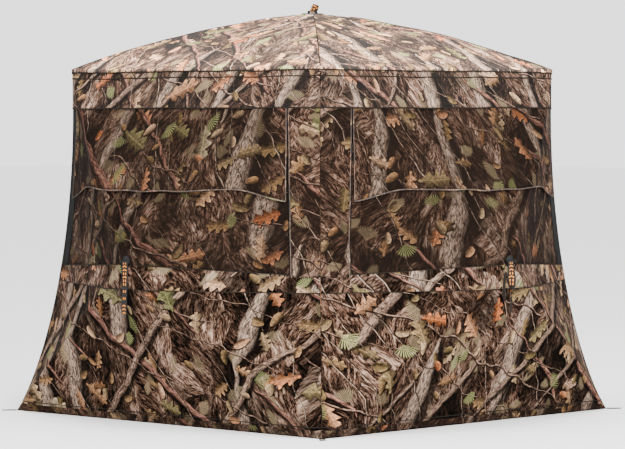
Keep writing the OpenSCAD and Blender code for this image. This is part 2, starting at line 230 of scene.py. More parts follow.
def tube_object(name, lines, radius, material, flat=1.0):
    """Round or flattened cords along lists of points, all in one mesh."""
    sides = 8
    verts, faces = [], []
    for line in lines:
        pts = np.array(line, float)
        n = len(pts)
        step = np.gradient(pts, axis=0)
        step /= np.linalg.norm(step, axis=1, keepdims=True) + 1e-12
        up = np.array([0, 0, 1.0])
        if abs(np.mean(step @ up)) > 0.9:
            up = np.array([1.0, 0, 0])
        across = np.cross(step, up)
        across /= np.linalg.norm(across, axis=1, keepdims=True) + 1e-12
        normal = np.cross(across, step)
        first = len(verts)
        for i in range(n):
            for k in range(sides):
                a = 2 * math.pi * k / sides
                verts.append(pts[i] + radius * (math.cos(a) * across[i] * flat + math.sin(a) * normal[i]))
        for i in range(n - 1):
            for k in range(sides):
                a, b = first + i * sides + k, first + i * sides + (k + 1) % sides
                faces.append((a, b, b + sides, a + sides))
        faces.append(tuple(first + k for k in range(sides))[::-1])
        faces.append(tuple(first + (n - 1) * sides + k for k in range(sides)))
    return new_object(name, verts, faces, [(v[0] + v[1], v[2]) for v in verts], [material])


def strip_points(centre, across, width, count):
    """Rows of points for a flat ribbon along a centre line, spread along the across vectors."""
    offsets = np.linspace(-width / 2, width / 2, count)
    return np.array([[c + a * o for o in offsets] for c, a in zip(centre, across)])


def turned(points, side):
    """From the frame of the wall that faces +X to that of the given wall."""
    c, s = [(1, 0), (0, 1), (-1, 0), (0, -1)][side]
    p = np.asarray(points, float)
    return np.stack([p[..., 0] * c - p[..., 1] * s, p[..., 0] * s + p[..., 1] * c, p[..., 2]], -1)


def wall_points(x, u, z, side):
    """Points that stand x out from the middle, u sideways and z up, on the given wall."""
    return turned(np.stack([x, u, z], -1), side)


def print_uvs(u, z, shift):
    """Where the print lies on a wall's cloth."""
    return np.stack([u * 1.06 + shift[0], z * 1.04 + shift[1]], -1)


def fit(piece, body, node=""):
    """Hides the CAD node a piece stands for, and gives the piece the body it moves with."""
    if node:
        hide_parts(node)
    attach(piece, body)


# ---- Shader arithmetic --------------------------------------------------------------------

class Value:
    """A number or vector inside a node tree; arithmetic on it adds nodes."""

    def __init__(self, socket):
        self.socket = socket

    def _math(self, operation, *others):
        node = new_node("ShaderNodeMath", self)
        node.operation = operation
        for slot, item in zip(node.inputs, (self, *others)):
            put(item, slot)
        return Value(node.outputs[0])

    def __rsub__(self, o):
        return self._math("MULTIPLY", -1.0)._math("ADD", o)

    def root(self):
        return self._math("MAXIMUM", 0.0)._math("SQRT")

    def ramp(self, lo, hi, to_lo=0.0, to_hi=1.0, kind="SMOOTHSTEP"):
        node = new_node("ShaderNodeMapRange", self)
        node.interpolation_type = kind
        for slot, item in zip(node.inputs, (self, lo, hi, to_lo, to_hi)):
            put(item, slot)
        return Value(node.outputs[0])

    def colours(self, stops):
        node = new_node("ShaderNodeValToRGB", self)
        put(self, node.inputs[0])
        bar = node.color_ramp
        while len(bar.elements) < len(stops):
            bar.elements.new(0.5)
        for element, (place, colour) in zip(bar.elements, stops):
            element.position = place
            element.color = (*colour, 1)
        return Value(node.outputs[0])


for name, operation in {
        "__add__": "ADD", "__radd__": "ADD", "__sub__": "SUBTRACT", "__mul__": "MULTIPLY",
        "__rmul__": "MULTIPLY", "__truediv__": "DIVIDE", "abs": "ABSOLUTE", "floor": "FLOOR",
        "fract": "FRACT", "sin": "SINE", "cos": "COSINE", "over": "GREATER_THAN", "most": "MAXIMUM",
        "bearing": "ARCTAN2"}.items():
    setattr(Value, name, lambda self, *others, operation=operation: self._math(operation, *others))


def new_node(kind, *items):
    """A new node in the tree that the items belong to."""
    tree = next(item.socket.id_data for item in items if isinstance(item, Value))
    return tree.nodes.new(kind)


def put(item, slot):
    """Links a Value to a node's input, or sets the input to a plain number or colour."""
    if isinstance(item, Value):
        slot.id_data.links.new(item.socket, slot)
    else:
        slot.default_value = item


def vector(x, y, z=0.0):
    node = new_node("ShaderNodeCombineXYZ", x, y, z)
    for slot, item in zip(node.inputs, (x, y, z)):
        put(item, slot)
    return Value(node.outputs[0])


def parts(item):
    node = new_node("ShaderNodeSeparateXYZ", item)
    put(item, node.inputs[0])
    return [Value(s) for s in node.outputs]


def noise(where, scale=1.0, detail=3.0, rough=0.6, warp=0.0, colour=False):
    node = new_node("ShaderNodeTexNoise", where)
    for key, item in (("Vector", where), ("Scale", scale), ("Detail", detail), ("Roughness", rough),
                      ("Distortion", warp)):
        put(item, node.inputs[key])
    return Value(node.outputs["Color" if colour else "Fac"])


def cells(where, scale):
    """A scatter of cells: the distance to the nearest, its random colour, and its middle."""
    node = new_node("ShaderNodeTexVoronoi", where)
    node.voronoi_dimensions = "2D"
    put(where, node.inputs["Vector"])
    put(scale, node.inputs["Scale"])
    return [Value(node.outputs[k]) for k in ("Distance", "Color", "Position")]


def chance(item, seed=0.0):
    """Three random numbers for each whole number of item."""
    node = new_node("ShaderNodeTexWhiteNoise", item)
    node.noise_dimensions = "2D"
    put(vector(item, seed), node.inputs["Vector"])
    return parts(Value(node.outputs["Color"]))


def blended(factor, under, over, kind="MIX"):
    node = new_node("ShaderNodeMix", factor, under, over)
    node.data_type = "RGBA"
    node.blend_type = kind
    for slot, item in ((0, factor), (6, under), (7, over)):
        put((*item, 1) if isinstance(item, tuple) else item, node.inputs[slot])
    return Value(node.outputs[2])


def dimmed(colour, value):
    """A colour multiplied by a number."""
    node = new_node("ShaderNodeCombineColor", value)
    for slot in node.inputs:
        put(value, slot)
    return blended(1.0, colour, Value(node.outputs[0]), "MULTIPLY")


# ---- The woodland print -------------------------------------------------------------------

def spun(x, y, angle):
    c, s = angle.cos(), angle.sin()
    return x * c + y * s, y * c - x * s


def leaf_layer(x, y, under, scale, length, share, shift, tones, lobed=True):
    """Scattered leaves, turned every way, with a rib, veins and a soft shadow below them."""
    where = vector(x + shift, y - shift * 0.7)
    _, colour, middle = cells(where, scale)
    r1, r2, r3 = parts(colour)
    mx, my, _ = parts(middle)
    dx, dy = x + shift - mx, y - shift * 0.7 - my
    angle = r1 * 12.57
    size = r2 * 0.5 + 0.75
    outlines = []
    for drop in (0.0, 0.006):
        lx, ly = spun(dx - drop * 0.6, dy + drop, angle)
        lx, ly = lx / (size * length), ly / (size * length)
        body = (1.0 - lx * lx).root() * (lx * 0.22 + 1.0)
        if lobed:
            frayed = noise(vector(lx * 1.6 + r1 * 9, ly * 1.6, r2 * 9), 2.2, 2, 0.5) - 0.5
            body = body * (0.70 + 0.30 * (lx * 11.5 - ly.abs() * 3.2 + frayed * 2.5).cos()) + frayed * 0.16
        outlines.append((lx, ly, body * 0.56 - ly.abs()))
    shown = r3.over(1.0 - share)
    (lx, ly, edge), (_, _, below) = outlines
    shadow = below.ramp(-0.10, 0.10) * shown * 0.78
    under = blended(shadow, under, (0.012, 0.008, 0.006))
    rib = 1.0 - ly.abs().ramp(0.0, 0.05)
    vein = ((lx - ly.abs() * 0.9) * 22.0).sin().ramp(0.45, 1.0) * 0.5
    mottled = noise(vector(x, y, shift), 75, 5, 0.78)
    light = (mottled * 3.0 - 0.62 + rib * 0.5 - vein * 0.45) * (ly * 1.5 + 1.0)
    leaf = dimmed((r1 * 0.6 + r2 * 0.4).colours(tones), light)
    return blended(edge.ramp(0.0, 0.035) * shown, under, leaf)


def limb_layer(x, y, under, angle, spacing, width, share, seed, dark, pale, wander=0.02):
    """Branches that run one way across the print, lit on one flank, rough with bark."""
    c, s = math.cos(angle), math.sin(angle)
    along = x * c + y * s
    bend = (noise(vector(along * 2.3, seed), 1.6, 2) - 0.5) * 2 * wander
    off = y * c - x * s + bend * 2.0 + seed
    lane = (off / spacing).floor()
    r1, r2, r3 = chance(lane, seed)
    local = ((off / spacing).fract() - 0.5 - (r2 - 0.5) * 0.45) * spacing
    reach = noise(vector(along * 1.1, lane * 3.7, seed), 1.3, 1)
    thick = (r3 * 0.7 + 0.55) * width * reach.ramp(0.40, 0.56)
    across = local / thick.most(0.0004)
    shown = r1.over(1.0 - share) * thick.over(width * 0.15)
    shadow = (1.0 - (across + 0.5).abs().ramp(0.8, 1.7)) * shown * 0.8
    under = blended(shadow, under, (0.010, 0.007, 0.005))
    grain = noise(vector(off * 150, along * 34, seed), 1, 5, 0.78)
    crack = noise(vector(off * 85, along * 15, seed + 3), 1, 3, 0.6) - 0.5
    flank = (1.0 - (across - 0.35) * (across - 0.35) * 0.7).most(0.05)
    lit = flank * (grain * 2.6 - 0.72) * (crack.abs().ramp(0.0, 0.055) * 0.85 + 0.15)
    bark = blended(lit.ramp(0.0, 0.9, kind="LINEAR"), dark, pale)
    rim = across.abs() + (grain - 0.5) * 0.9
    return blended((1.0 - rim.ramp(0.80, 0.95)) * shown, under, bark)


def sprig_layer(x, y, under, scale, shift, share, green, yellow, needles=17.0):
    """Tufts of needles or blades that fan out from one point."""
    where = vector(x - shift, y + shift * 1.3)
    _, colour, middle = cells(where, scale)
    r1, r2, r3 = parts(colour)
    mx, my, _ = parts(middle)
    lx, ly = spun(x - shift - mx, y + shift * 1.3 - my, r1 * 6.28)
    reach = (lx * lx + ly * ly).root()
    around = ly.bearing(lx)
    blade = ((around * needles / 3.1416 + (reach * 40.0).sin() * 0.10).fract() - 0.5).abs()
    size = 0.045 + r2 * 0.03
    mask = (blade * 2.0).ramp(0.28, 0.75) * (1.0 - (reach / size).ramp(0.75, 1.0))
    mask = mask * (1.0 - around.abs().ramp(0.9, 1.25)) * r3.over(1.0 - share)
    shade = blended((blade * 2.0) * (r1 * 0.5 + 0.5), green, yellow)
    return blended(mask, under, shade)


def bark_ground(x, y):
    """Plates of bark and dead grass that run every way but mostly upright, dark in their gaps."""
    wander = noise(vector(x, y), 5.0, 2, 0.5, colour=True)
    wx, wy, _ = parts(wander)
    x1, y1 = x + (wx - 0.5) * 0.09, y + (wy - 0.5) * 0.09
    _, colour, _ = cells(vector(x1 * 1.6, y1), 5.0)
    r1, r2, r3 = parts(colour)
    lx, ly = spun(x1, y1, (r1 - 0.5) * 1.9)
    coarse = noise(vector(lx * 46, ly * 9, r2 * 9), 1, 3, 0.62)
    fine = noise(vector(lx * 210, ly * 36, r3 * 9), 1, 4, 0.72)
    crack = (noise(vector(lx * 70, ly * 13, r3 * 5), 1, 4, 0.65) - 0.5).abs().ramp(0.0, 0.06)
    broad = noise(vector(x1 * 1.6, y1 * 0.7, 2.0), 6.5, 3, 0.6)
    tone = coarse * 0.36 + fine * 0.50 + broad * 0.14 + (r2 - 0.5) * 0.10 - (1.0 - crack) * 0.13
    return tone.colours([
        (0.33, (0.004, 0.003, 0.002)), (0.41, (0.040, 0.024, 0.017)), (0.48, (0.150, 0.092, 0.066)),
        (0.55, (0.34, 0.235, 0.180)), (0.63, (0.62, 0.48, 0.39)), (0.73, (0.88, 0.77, 0.68))])


def woodland_group():
    """The print as a node group: its colour at a place given in metres."""
    tree = bpy.data.node_groups.new("woodland print", "ShaderNodeTree")
    tree.interface.new_socket("Place", in_out="INPUT", socket_type="NodeSocketVector")
    tree.interface.new_socket("Colour", in_out="OUTPUT", socket_type="NodeSocketColor")
    entry = tree.nodes.new("NodeGroupInput")
    leave = tree.nodes.new("NodeGroupOutput")
    x, y, _ = parts(Value(entry.outputs[0]))
    browns = [(0.0, (0.24, 0.130, 0.070)), (0.3, (0.40, 0.26, 0.155)), (0.5, (0.20, 0.150, 0.080)),
              (0.68, (0.56, 0.41, 0.28)), (0.85, (0.42, 0.17, 0.075)), (1.0, (0.66, 0.54, 0.42))]
    rusts = [(0.0, (0.44, 0.20, 0.110)), (0.35, (0.44, 0.26, 0.16)), (0.55, (0.32, 0.235, 0.14)),
             (0.75, (0.22, 0.210, 0.110)), (1.0, (0.56, 0.44, 0.33))]
    colour = bark_ground(x, y)
    dim = noise(vector(x, y, 4.0), 4.2, 3, 0.55).ramp(0.34, 0.60, 0.34, 1.15)
    colour = dimmed(colour, dim)
    red_dark, red_pale = (0.030, 0.014, 0.011), (0.62, 0.37, 0.29)
    dark, pale = (0.006, 0.004, 0.003), (0.74, 0.57, 0.46)
    colour = limb_layer(x, y, colour, 1.40, 0.33, 0.056, 0.60, 3.1, dark, pale, 0.025)
    colour = sprig_layer(x, y, colour, 5.6, 1.9, 0.60, (0.06, 0.055, 0.03), (0.62, 0.50, 0.34), 23.0)
    colour = leaf_layer(x, y, colour, 7.5, 0.058, 0.36, 0.37, browns)
    colour = limb_layer(x, y, colour, -0.68, 0.27, 0.018, 0.70, 8.3, red_dark, red_pale, 0.03)
    colour = limb_layer(x, y, colour, 0.75, 0.27, 0.024, 0.60, 5.7, dark, (0.64, 0.46, 0.36), 0.025)
    colour = limb_layer(x, y, colour, 2.05, 0.085, 0.0034, 0.65, 1.3, dark, pale, 0.035)
    colour = limb_layer(x, y, colour, -0.35, 0.11, 0.0038, 0.60, 2.9, dark, (0.66, 0.47, 0.37), 0.04)
    colour = leaf_layer(x, y, colour, 5.2, 0.078, 0.28, 1.73, rusts)
    colour = sprig_layer(x, y, colour, 4.0, 0.8, 0.45, (0.07, 0.10, 0.035), (0.56, 0.56, 0.30), 15.0)
    colour = leaf_layer(x, y, colour, 11.0, 0.030, 0.20, 2.61, browns, lobed=False)
    put(colour, leave.inputs[0])
    return tree


WOODLAND = woodland_group()


# ---- Materials ----------------------------------------------------------------------------

RIBS = 380.0                            # a tape's ribs in a metre

def start_material(name, rough=0.8, **sockets):
    material = bpy.data.materials.new(name)
    material.use_nodes = True
    shader = material.node_tree.nodes["Principled BSDF"]
    shader.inputs["Roughness"].default_value = rough
    for key, value in sockets.items():
        shader.inputs[key.replace("_", " ")].default_value = value
    return material, shader


def print_place(shader):
    node = shader.id_data.nodes.new("ShaderNodeUVMap")
    node.uv_map = "Print"
    return Value(node.outputs[0])


def object_place(shader):
    node = shader.id_data.nodes.new("ShaderNodeTexCoord")
    return Value(node.outputs["Object"])


def paint(shader, colour):
    put(colour, shader.inputs["Base Color"])


def bump(shader, height, strength, distance):
    node = new_node("ShaderNodeBump", height)
    for key, item in (("Strength", strength), ("Distance", distance), ("Height", height)):
        put(item, node.inputs[key])
    put(Value(node.outputs[0]), shader.inputs["Normal"])


def weave(x, y, threads):
    """Over-and-under threads, from 0 to 1."""
    a, b = (x * threads * 3.1416).sin(), (y * threads * 3.1416).sin()
    return (a * b) * 0.5 + 0.5


def printed_cloth(name, gain=1.0, lift=0.0, contrast=1.0, threads=700.0, crumple=0.5, hole=0.0, rough=0.9,
                  depth=1.5):
    """Cloth with the woodland print. gain, lift and depth set its lightness and how deep its darks are,
    contrast pulls it to its middle tone, and hole darkens the gaps of an open mesh."""
    material, shader = start_material(name, rough, Specular_IOR_Level=0.02)
    place = print_place(shader)
    group = new_node("ShaderNodeGroup", place)
    group.node_tree = WOODLAND
    put(place, group.inputs[0])
    deepened = new_node("ShaderNodeGamma", place)
    put(depth, deepened.inputs["Gamma"])
    put(Value(group.outputs[0]), deepened.inputs["Color"])
    colour = Value(deepened.outputs[0])
    x, y, _ = parts(place)
    colour = blended(1.0 - contrast, colour, (0.108, 0.068, 0.051))
    # Random lighter and darker patches times the material's gain; in the roof's copy the high gain is
    # painted top light.
    patches_times_gain = noise(vector(x, y, 7.0), 1.7, 3, 0.6).ramp(0.3, 0.7, 0.86 * gain, 1.12 * gain)
    colour = dimmed(colour, patches_times_gain)
    if lift:
        colour = blended(lift, colour, (0.66, 0.60, 0.56))
    threads_up = weave(x, y, threads)
    if hole:
        colour = dimmed(colour, threads_up.ramp(0.0, 1.0, 1.0 - hole, 1.0))
    paint(shader, colour)
    creases = noise(vector(x, y), 11, 4, 0.55, 0.6)
    bump(shader, creases * crumple + threads_up * 0.02, 0.5, 0.02)
    return material


def lining():
    """The black coating on the inner side of the cloth."""
    material, shader = start_material("black_lining", 0.9, Specular_IOR_Level=0.05)
    place = print_place(shader)
    x, y, _ = parts(place)
    tone = noise(place, 8, 4, 0.6).colours([(0.3, (0.004, 0.004, 0.004)), (0.7, (0.011, 0.010, 0.010))])
    paint(shader, tone)
    creases = noise(vector(x, y), 16, 4, 0.55)
    bump(shader, creases + weave(x, y, 500.0) * 0.05, 0.4, 0.012)
    return material


def webbing(name, dark, pale):
    """Ribbed, woven tape."""
    material, shader = start_material(name, 0.8, Specular_IOR_Level=0.03)
    x, y, _ = parts(object_place(shader))
    rib = ((x + y * 0.7) * RIBS * 6.28).sin() * 0.5 + 0.5
    fleck = noise(object_place(shader), 420, 3, 0.7)
    paint(shader, (rib * 0.4 + fleck * 0.6).colours([(0.25, dark), (0.75, pale)]))
    bump(shader, rib + fleck * 0.5, 0.5, 0.0012)
    return material


def marked_webbing():
    """The pull straps: black tape with a row of plain orange blocks and chevrons."""
    material, shader = start_material("marked_webbing", 0.8, Specular_IOR_Level=0.05)
    x, y, _ = parts(print_place(shader))
    pitch = 0.0155
    lane = ((y / pitch).fract() - 0.5) * pitch
    r1, r2, _ = chance((y / pitch).floor(), 4.0)
    chevron = 1.0 - ((lane - x.abs() * 0.45 + 0.003).abs()).ramp(0.0022, 0.0028)
    block = (1.0 - lane.abs().ramp(0.0050, 0.0056)) * (1.0 - (x.abs() - 0.0065).abs().ramp(0.0022, 0.0028))
    kind = r1.over(0.5)
    mark = (chevron * (1.0 - kind) + block * kind) * (1.0 - x.abs().ramp(0.0115, 0.0122)) * r2.over(0.16)
    rib = (y * RIBS * 6.28).sin() * 0.5 + 0.5
    fleck = noise(object_place(shader), 420, 3, 0.7)
    black = (rib * 0.4 + fleck * 0.6).colours([(0.25, (0.006, 0.006, 0.006)), (0.75, (0.030, 0.028, 0.026))])
    orange = fleck.colours([(0.3, (0.42, 0.13, 0.015)), (0.7, (0.72, 0.27, 0.05))])
    paint(shader, blended(mark, black, orange))
    bump(shader, rib + fleck * 0.5 + mark * 0.6, 0.5, 0.0012)
    return material


def moulded(name, dark, pale, rough):
    """Moulded plastic: fine spark texture, and scattered scuffs that are paler and rougher."""
    material, shader = start_material(name, rough, Specular_IOR_Level=0.25)
    place = object_place(shader)
    fine = noise(place, 900.0, 2, 0.6)
    scuff = noise(place, 38, 5, 0.7).ramp(0.52, 0.72)
    tone = (scuff * 0.45 + fine * 0.4).colours([(0.15, dark), (0.9, pale)])
    paint(shader, tone)
    put((scuff * 0.18 + fine * 0.1 + (rough - 0.08)), shader.inputs["Roughness"])
    bump(shader, fine, 0.25, 0.0006)
    return material


def fibreglass():
    """Black pultruded rod: glossy, with fine lengthwise fibres and faint dust."""
    material, shader = start_material("fibreglass", 0.3, Coat_Weight=0.4)
    place = object_place(shader)
    fibre = noise(place, 260, 5, 0.75, 1.5)
    dust = noise(place, 22, 4, 0.6).ramp(0.5, 0.8)
    tone = (fibre * 0.5 + dust * 0.4).colours([(0.2, (0.010, 0.010, 0.010)), (0.8, (0.075, 0.070, 0.062))])
    paint(shader, tone)
    put(dust * 0.35 + 0.24, shader.inputs["Roughness"])
    bump(shader, fibre, 0.2, 0.0004)
    return material


def metal(name, dark, pale, rough=0.32):
    """Brushed metal, duller and darker where it has tarnished."""
    material, shader = start_material(name, rough, Metallic=1.0)
    place = object_place(shader)
    brushed = noise(place, 300, 4, 0.7, 2.0)
    tarnish = noise(place, 60, 4, 0.6).ramp(0.45, 0.7)
    tone = (brushed * 0.4 + tarnish * 0.6).colours([(0.2, pale), (0.9, dark)])
    paint(shader, tone)
    put(brushed * 0.2 + tarnish * 0.25 + 0.2, shader.inputs["Roughness"])
    bump(shader, brushed, 0.2, 0.0003)
    return material


WALL = printed_cloth("wall_camo", gain=0.59, depth=1.4)
# The roof's copy of the print is about five times lighter than the walls' (gain 3.1 and a pale lift):
# painted top light over the print's own colour.
ROOF_TOPLIT_PRINT = printed_cloth("roof_camo", gain=3.1, lift=0.05, depth=1.65)
BELT = printed_cloth("belt_camo", gain=0.66, depth=1.3)
VALANCE = printed_cloth("valance_camo", gain=0.76, lift=0.01, depth=1.45)
PANEL = printed_cloth("panel_camo", gain=0.50, contrast=0.9)
CURTAIN = printed_cloth("curtain_camo", gain=0.335, contrast=0.86, crumple=0.8)
SCREEN = printed_cloth("screen_camo", gain=0.345, contrast=0.84, threads=420.0, hole=0.35)
HEM = printed_cloth("hem_camo", gain=0.38, contrast=0.85)
TRIM = printed_cloth("trim_camo", gain=0.50, lift=0.04, contrast=0.7, crumple=0.2)
LINING = lining()
BLACK_TAPE = webbing("black_tape", (0.006, 0.005, 0.004), (0.022, 0.018, 0.015))
STRAP = marked_webbing()
HUB_PLASTIC = moulded("hub_plastic", (0.002, 0.002, 0.002), (0.012, 0.011, 0.010), 0.62)
ROD = fibreglass()
GROMMET = metal("grommet_metal", (0.25, 0.24, 0.22), (0.62, 0.61, 0.58))
ZIP_METAL = metal("zip_metal", (0.06, 0.06, 0.06), (0.20, 0.20, 0.20), 0.4)


# ---- Walls --------------------------------------------------------------------------------


def follow_hub(piece, node=""):
    """Hides the CAD node a facet's piece stands for, and bakes the piece's placement into its mesh."""
    if node:
        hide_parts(node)
    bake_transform(piece)


def panel_lo(side):
    return WIDE_PANEL if side % 2 == 0 else NARROW_PANEL


def panel_hi(side):
    return NARROW_PANEL if side % 2 == 0 else WIDE_PANEL


def spans(z, facet, lo, hi):
    """The sideways limits of one facet at height z, inside a panel that runs from lo to hi."""
    ridge = ridge_at(z)
    if facet == "hi":
        inner = np.maximum(ridge, lo)
        return inner, np.maximum(hi, inner)
    if facet == "lo":
        inner = np.minimum(-ridge, hi)
        return np.minimum(lo, inner), inner
    return np.maximum(-ridge, lo), np.minimum(ridge, hi)


def facet_grid(side, facet, bottom, top, lo, hi, out, shift, extra=None):
    """Points of one facet of a wall panel. bottom and top are functions of how far along the facet they
    are, and lo and hi, the sideways limits, of height. In the back wall the doorway is left out."""
    door = side == 1 and facet == "hi"
    low, high = float(np.mean(bottom(0.5))), float(np.mean(top(0.5)))
    a, b = spans(np.array((low + high) / 2), facet, lo((low + high) / 2), hi((low + high) / 2))
    m = max(6, int(max(float(b - a), 0.3) / GRID))
    if door:
        share = np.concatenate([np.linspace(k, k + 1, 12, endpoint=False) for k in range(3)] + [[3.0]])
        cuts = [low] + [z for z in (DOOR_LO, DOOR_HI) if low < z < high] + [high]
    else:
        share = np.linspace(0, 1, m + 1)
        cuts = [low, high]
    rows = [np.linspace(p, q, max(2, int((q - p) / GRID)), endpoint=False) for p, q in zip(cuts, cuts[1:])]
    rows = (np.concatenate(rows + [[high]]) - low) / (high - low)
    s, k = np.meshgrid(share, rows)
    along = s / 3 if door else s
    fixed = low + (high - low) * k
    z = bottom(along) + (top(along) - bottom(along)) * k
    z = np.where((k > 0) & (k < 1) & (np.abs(fixed - DOOR_LO) < 1e-6) & door, DOOR_LO, z)
    z = np.where((k > 0) & (k < 1) & (np.abs(fixed - DOOR_HI) < 1e-6) & door, DOOR_HI, z)
    a, b = spans(z, facet, lo(z), hi(z))
    if door:
        p, q = np.clip(door_inner(z), a, b), np.clip(door_outer(z), a, b)
        u = np.where(s <= 1, a + (p - a) * s, np.where(s <= 2, p + (q - p) * (s - 1), q + (b - q) * (s - 2)))
    else:
        u = a + (b - a) * s
    if extra is not None:
        out = out + extra(u, z, k)
    points, uvs = on_cloth(u, z, side, out), print_uvs(u, z, shift)
    hole = None
    if door:
        mid_z, mid_s = (z[:-1, :-1] + z[1:, 1:]) / 2, (s[:-1, :-1] + s[1:, 1:]) / 2
        hole = (mid_s > 1) & (mid_s < 2) & (mid_z > DOOR_LO) & (mid_z < DOOR_HI)
    return points, uvs, hole


def on_cloth(u, z, side, out=0.0):
    """Points on a wall's cloth, or out from it, at the sideways place u and the height z."""
    return wall_points(wall_x(u, z) + out + slack(u, z, side), u, z, side)


def flat_size(points, hole):
    """The area of a grid of points, and its greatest width and length."""
    du = np.linalg.norm(np.diff(points, axis=1), axis=2)
    dv = np.linalg.norm(np.diff(points, axis=0), axis=2)
    diagonals = points[1:, 1:] - points[:-1, :-1], points[1:, :-1] - points[:-1, 1:]
    cell = 0.5 * np.linalg.norm(np.cross(*diagonals), axis=2)
    if hole is not None:
        cell = cell * ~hole
    return float(np.sum(cell)), float(du.sum(1).max()), float(dv.sum(0).max())


def declare_cloth(points, rests_on, hole=None):
    """Works out a sheet's flat size, with a width that its area bears out; nothing is done with the result.
    """
    area, width, length = flat_size(points, hole)
    area = min(area, width * length)
    width = max(0.012, min(width, area / 0.32 / length))


def belt_top(facet):
    """Height of the lower wall's top edge, which rises towards the hub."""
    def height(s):
        s = np.asarray(s, float)
        up = {"low": 1 + 0 * s, "hi": 1 - s, "lo": s}[facet]
        return BELT_Z + BELT_H + BELT_RISE * up
    return height


def level(height):
    """A height that stays the same along a facet."""
    return lambda s: height + 0 * np.asarray(s, float)


def wall_edge(sign, inset):
    """A function of height: the sideways place of a wall's edge, moved in by inset."""
    return lambda z: sign * (half_at(z) - inset)


def door_inner(z):
    """The doorway's inner edge at height z: upright in the middle, and along the pole ridges at its ends."""
    knots = [DOOR_LO, DOOR_IN_LO, DOOR_IN_HI, DOOR_HI]
    ends = [float(ridge_at(np.array(knots[0]))) + DOOR_ROOM, float(half_at(knots[1])) / 2,
            float(half_at(knots[2])) / 2, float(ridge_at(np.array(knots[3]))) + DOOR_ROOM]
    return np.interp(z, knots, ends)


def door_outer(z):
    return half_at(z) - DOOR_MARGIN


def cloth(name, side, facet, bottom, top, lo, hi, out, shift, looks, rests_on, node="",
          extra=None):
    """One facet of a wall's cloth, with its thickness."""
    points, uvs, hole = facet_grid(side, facet, bottom, top, lo, hi, out, shift, extra)
    piece = thicken(grid_object(name, points, uvs, looks, hole))
    follow_hub(piece, node)
    declare_cloth(points, rests_on, hole)


def trim(name, side, lines, radius, look, flat=1.0):
    """Bindings and seams along a facet's cloth. lines are lists of (u, z, out)."""
    curves = []
    for line in lines:
        u, z, out = (np.array(v, float) for v in zip(*line))
        curves.append(on_cloth(u, z, side, out))
    piece = tube_object(name, curves, radius, look, flat=flat)
    follow_hub(piece)


def across(facet, height, lo, hi, out, count=40):
    """A sideways line over one facet. height is a function of how far along it is."""
    s = np.linspace(0, 1, count)
    z = height(s)
    a, b = spans(z, facet, lo(z), hi(z))
    return [(a_ + (b_ - a_) * s_, z_, out) for a_, b_, s_, z_ in zip(a, b, s, z)]


def upright(edge, z0, z1, out, count=40):
    """An upright line at the sideways place that edge gives for each height."""
    return [(float(edge(z)), z, out) for z in np.linspace(z0, z1, count)]


def curtain_foot(side):
    """A function of u: the height of a curtain's lower edge, low at its ends and gently wavy."""
    def height(u):
        wave = 0.006 * ripple(u * 1.0 + side, u * 0.0, 0.13, 4)
        ends = 0.008 * smooth(np.abs(u), 0.1, 0.4) - 0.060 * smooth(np.abs(u), 0.45, 0.74)
        return CURTAIN_FOOT + wave + ends
    return height


def curtain_cloth(side, facet, lo, hi, shift):
    """One facet of a window's curtain, hung from the valance, with the binding round its free edges."""
    name, foot = SIDES[side], curtain_foot(side)
    top = VALANCE_Z + 0.010
    s, k = np.meshgrid(np.linspace(0, 1, 30), np.linspace(0, 1, 26))
    z = CURTAIN_BASE + (top - CURTAIN_BASE) * k
    for _ in range(4):     # the foot depends on u, and the facet's limits on z
        a, b = spans(z, facet, lo(z), hi(z))
        u = a + (b - a) * s
        z = foot(u) + (top - foot(u)) * k
    a, b = spans(z, facet, lo(z), hi(z))
    u = a + (b - a) * s
    hang = (1 - k) * (1 + 0.3 * ripple(u + side, z, 0.25, 12))
    folds = 0.012 * hang + 0.0022 * ripple(u, z + side, 0.09, 3) * (1 - k)
    points = on_cloth(u, z, side, CURTAIN_OUT + folds)
    piece = grid_object(f"{name}_window_curtain_{facet}", points, print_uvs(u, z, shift), [CURTAIN, LINING])
    thicken(piece)
    follow_hub(piece, name + "_window_curtain")
    declare_cloth(points, [name + "_window_screen_" + facet])
    lines = [points[0] + turned(np.array([0.0006, 0, 0]), side)]
    if facet == "hi":
        lines.append(points[:, -1])
    if facet == "lo":
        lines.append(points[:, 0])
    binding = tube_object(f"{name}_curtain_binding_{facet}", lines, CORD, TRIM, flat=0.6)
    follow_hub(binding)


def corner_strip(side, end, shift):
    """A corner panel's half on one wall: camouflage with a pale binding where wide, black where narrow."""
    name, sign = SIDES[side], 1 if end == "hi" else -1
    width = panel_hi(side) if end == "hi" else panel_lo(side)
    wide = width > 0.1
    foot = level(BELT_Z + BELT_H - 0.004)
    inner, outer = wall_edge(sign, width), wall_edge(sign, 0.0)
    lo, hi = (inner, outer) if sign > 0 else (outer, inner)
    looks = [PANEL, LINING] if wide else [LINING, LINING]
    extra = (lambda u, z, k: 0.006 * smooth(half_at(z) - np.abs(u), 0.0, 0.05)) if wide else None
    cloth(f"{name}_corner_panel_{end}", side, end, foot, level(VALANCE_Z + TUCK), lo, hi, 0.0, shift,
          looks, ["valance_" + name], "corner_panels", extra)
    if wide and side != 1:
        line = upright(inner, BELT_Z + BELT_H, VALANCE_Z, 0.0062)
        trim(f"{name}_corner_binding_{end}", side, [line], 0.0026, TRIM, flat=0.8)
        line = upright(wall_edge(sign, width + 0.006), BELT_Z + BELT_H, VALANCE_Z, 0.0)
        trim(f"{name}_corner_shadow_{end}", side, [line], 0.0040, LINING, flat=1.2)


